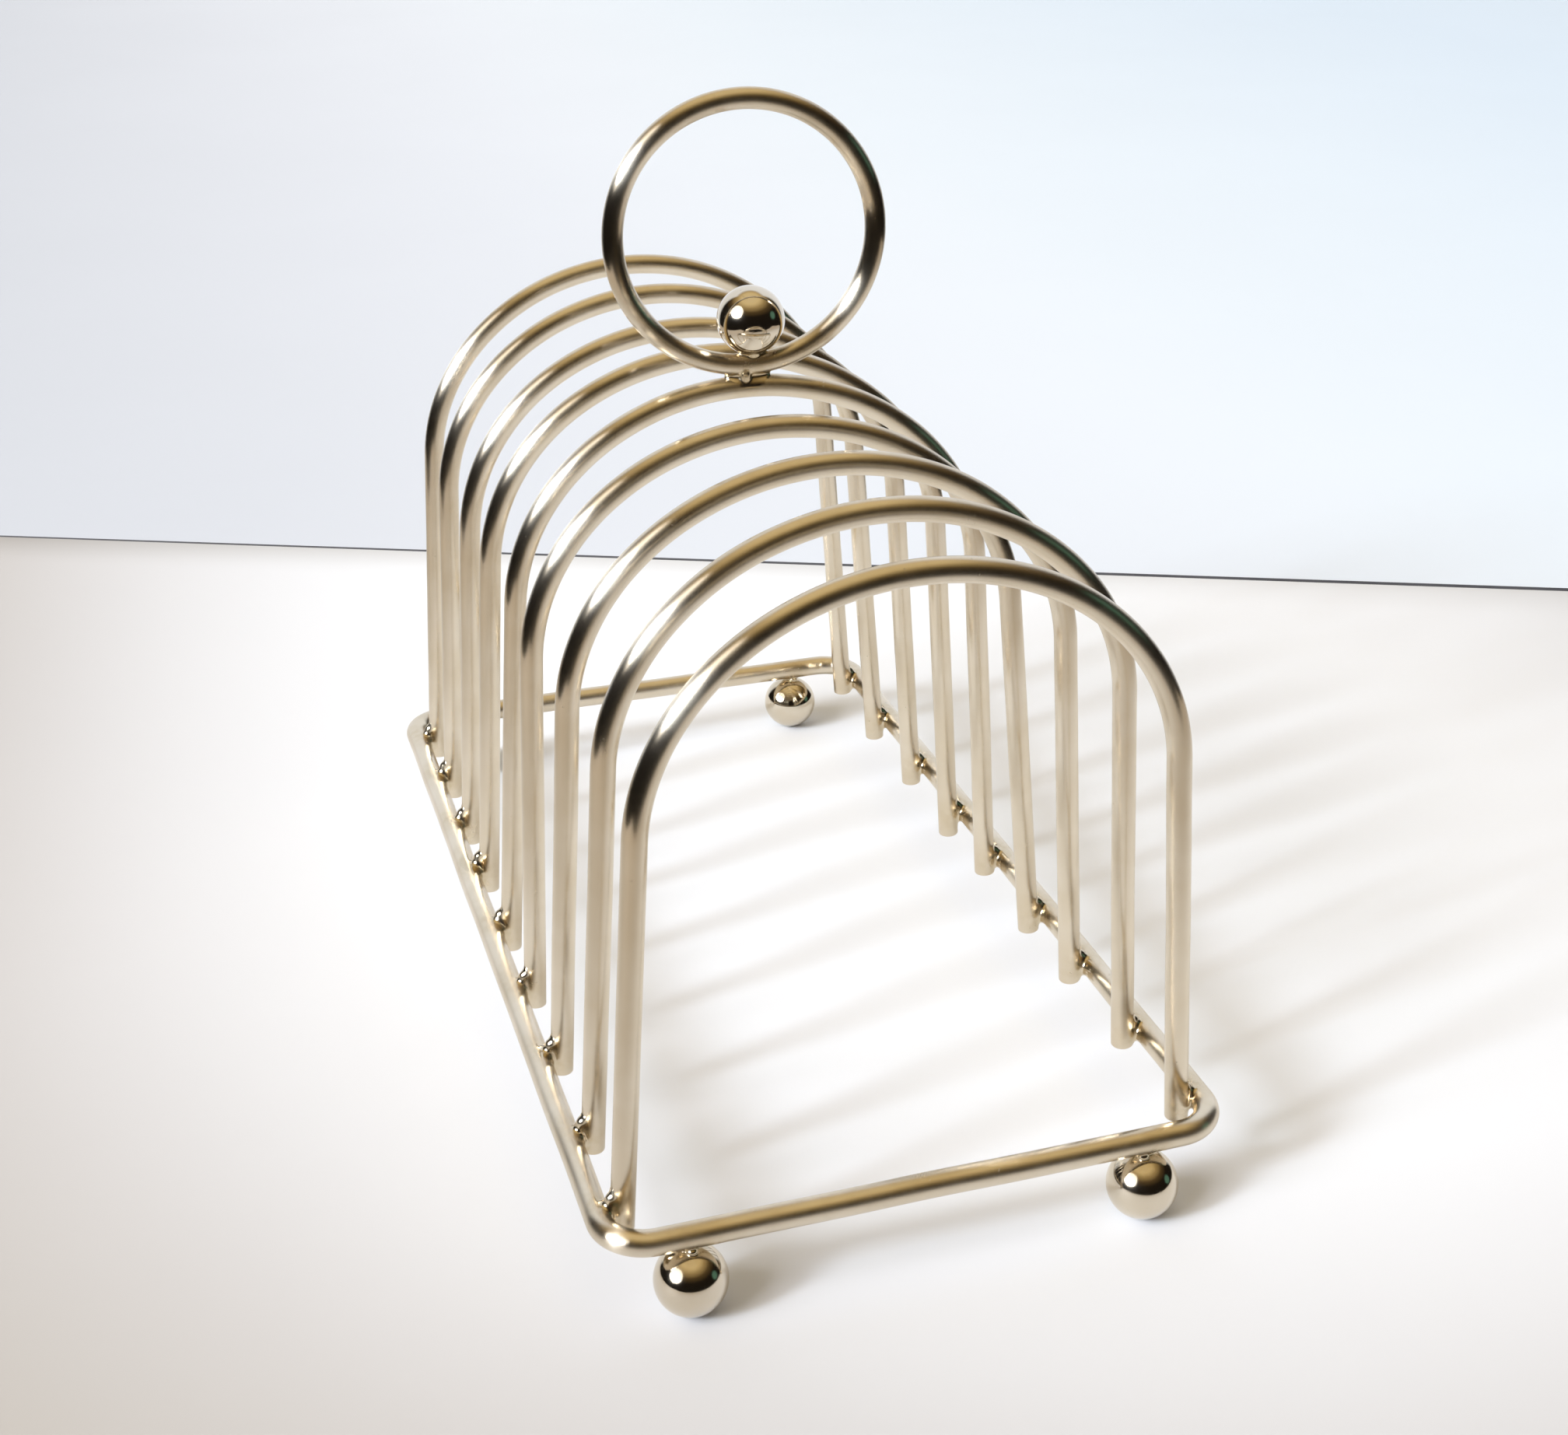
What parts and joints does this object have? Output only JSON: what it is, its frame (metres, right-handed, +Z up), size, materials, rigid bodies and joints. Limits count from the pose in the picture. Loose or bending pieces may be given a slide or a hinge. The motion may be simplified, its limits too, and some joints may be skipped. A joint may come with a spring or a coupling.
{
  "type": "toast rack",
  "caption": "Wire toast rack: arched hoops welded inside a rectangular base frame on ball feet, with an upright ring handle that holds a ball.",
  "frame": {"origin": "on the table, under the centre of the rack's bounding box", "axes": "+Z up; +Y along the rack, from its front hoop to its rear hoop; +X across the rack, to the right seen from the front"},
  "size_m": [0.1082, 0.208, 0.1699],
  "materials": {
    "plated_wire": "polished nickel plate, warm",
    "plated_ball": "polished nickel plate, warm"
  },
  "bodies": {
    "root": {"base_frame": "plated_wire", "hoop_1": "plated_wire", "hoop_2": "plated_wire", "hoop_3": "plated_wire", "hoop_4": "plated_wire", "hoop_5": "plated_wire", "hoop_6": "plated_wire", "hoop_7": "plated_wire", "hoop_8": "plated_wire", "hoop_9": "plated_wire", "ring_handle": "plated_wire", "ring_ball": "plated_ball", "foot_front_left": "plated_ball", "foot_front_right": "plated_ball", "foot_rear_left": "plated_ball", "foot_rear_right": "plated_ball"}
  },
  "joints": []
}
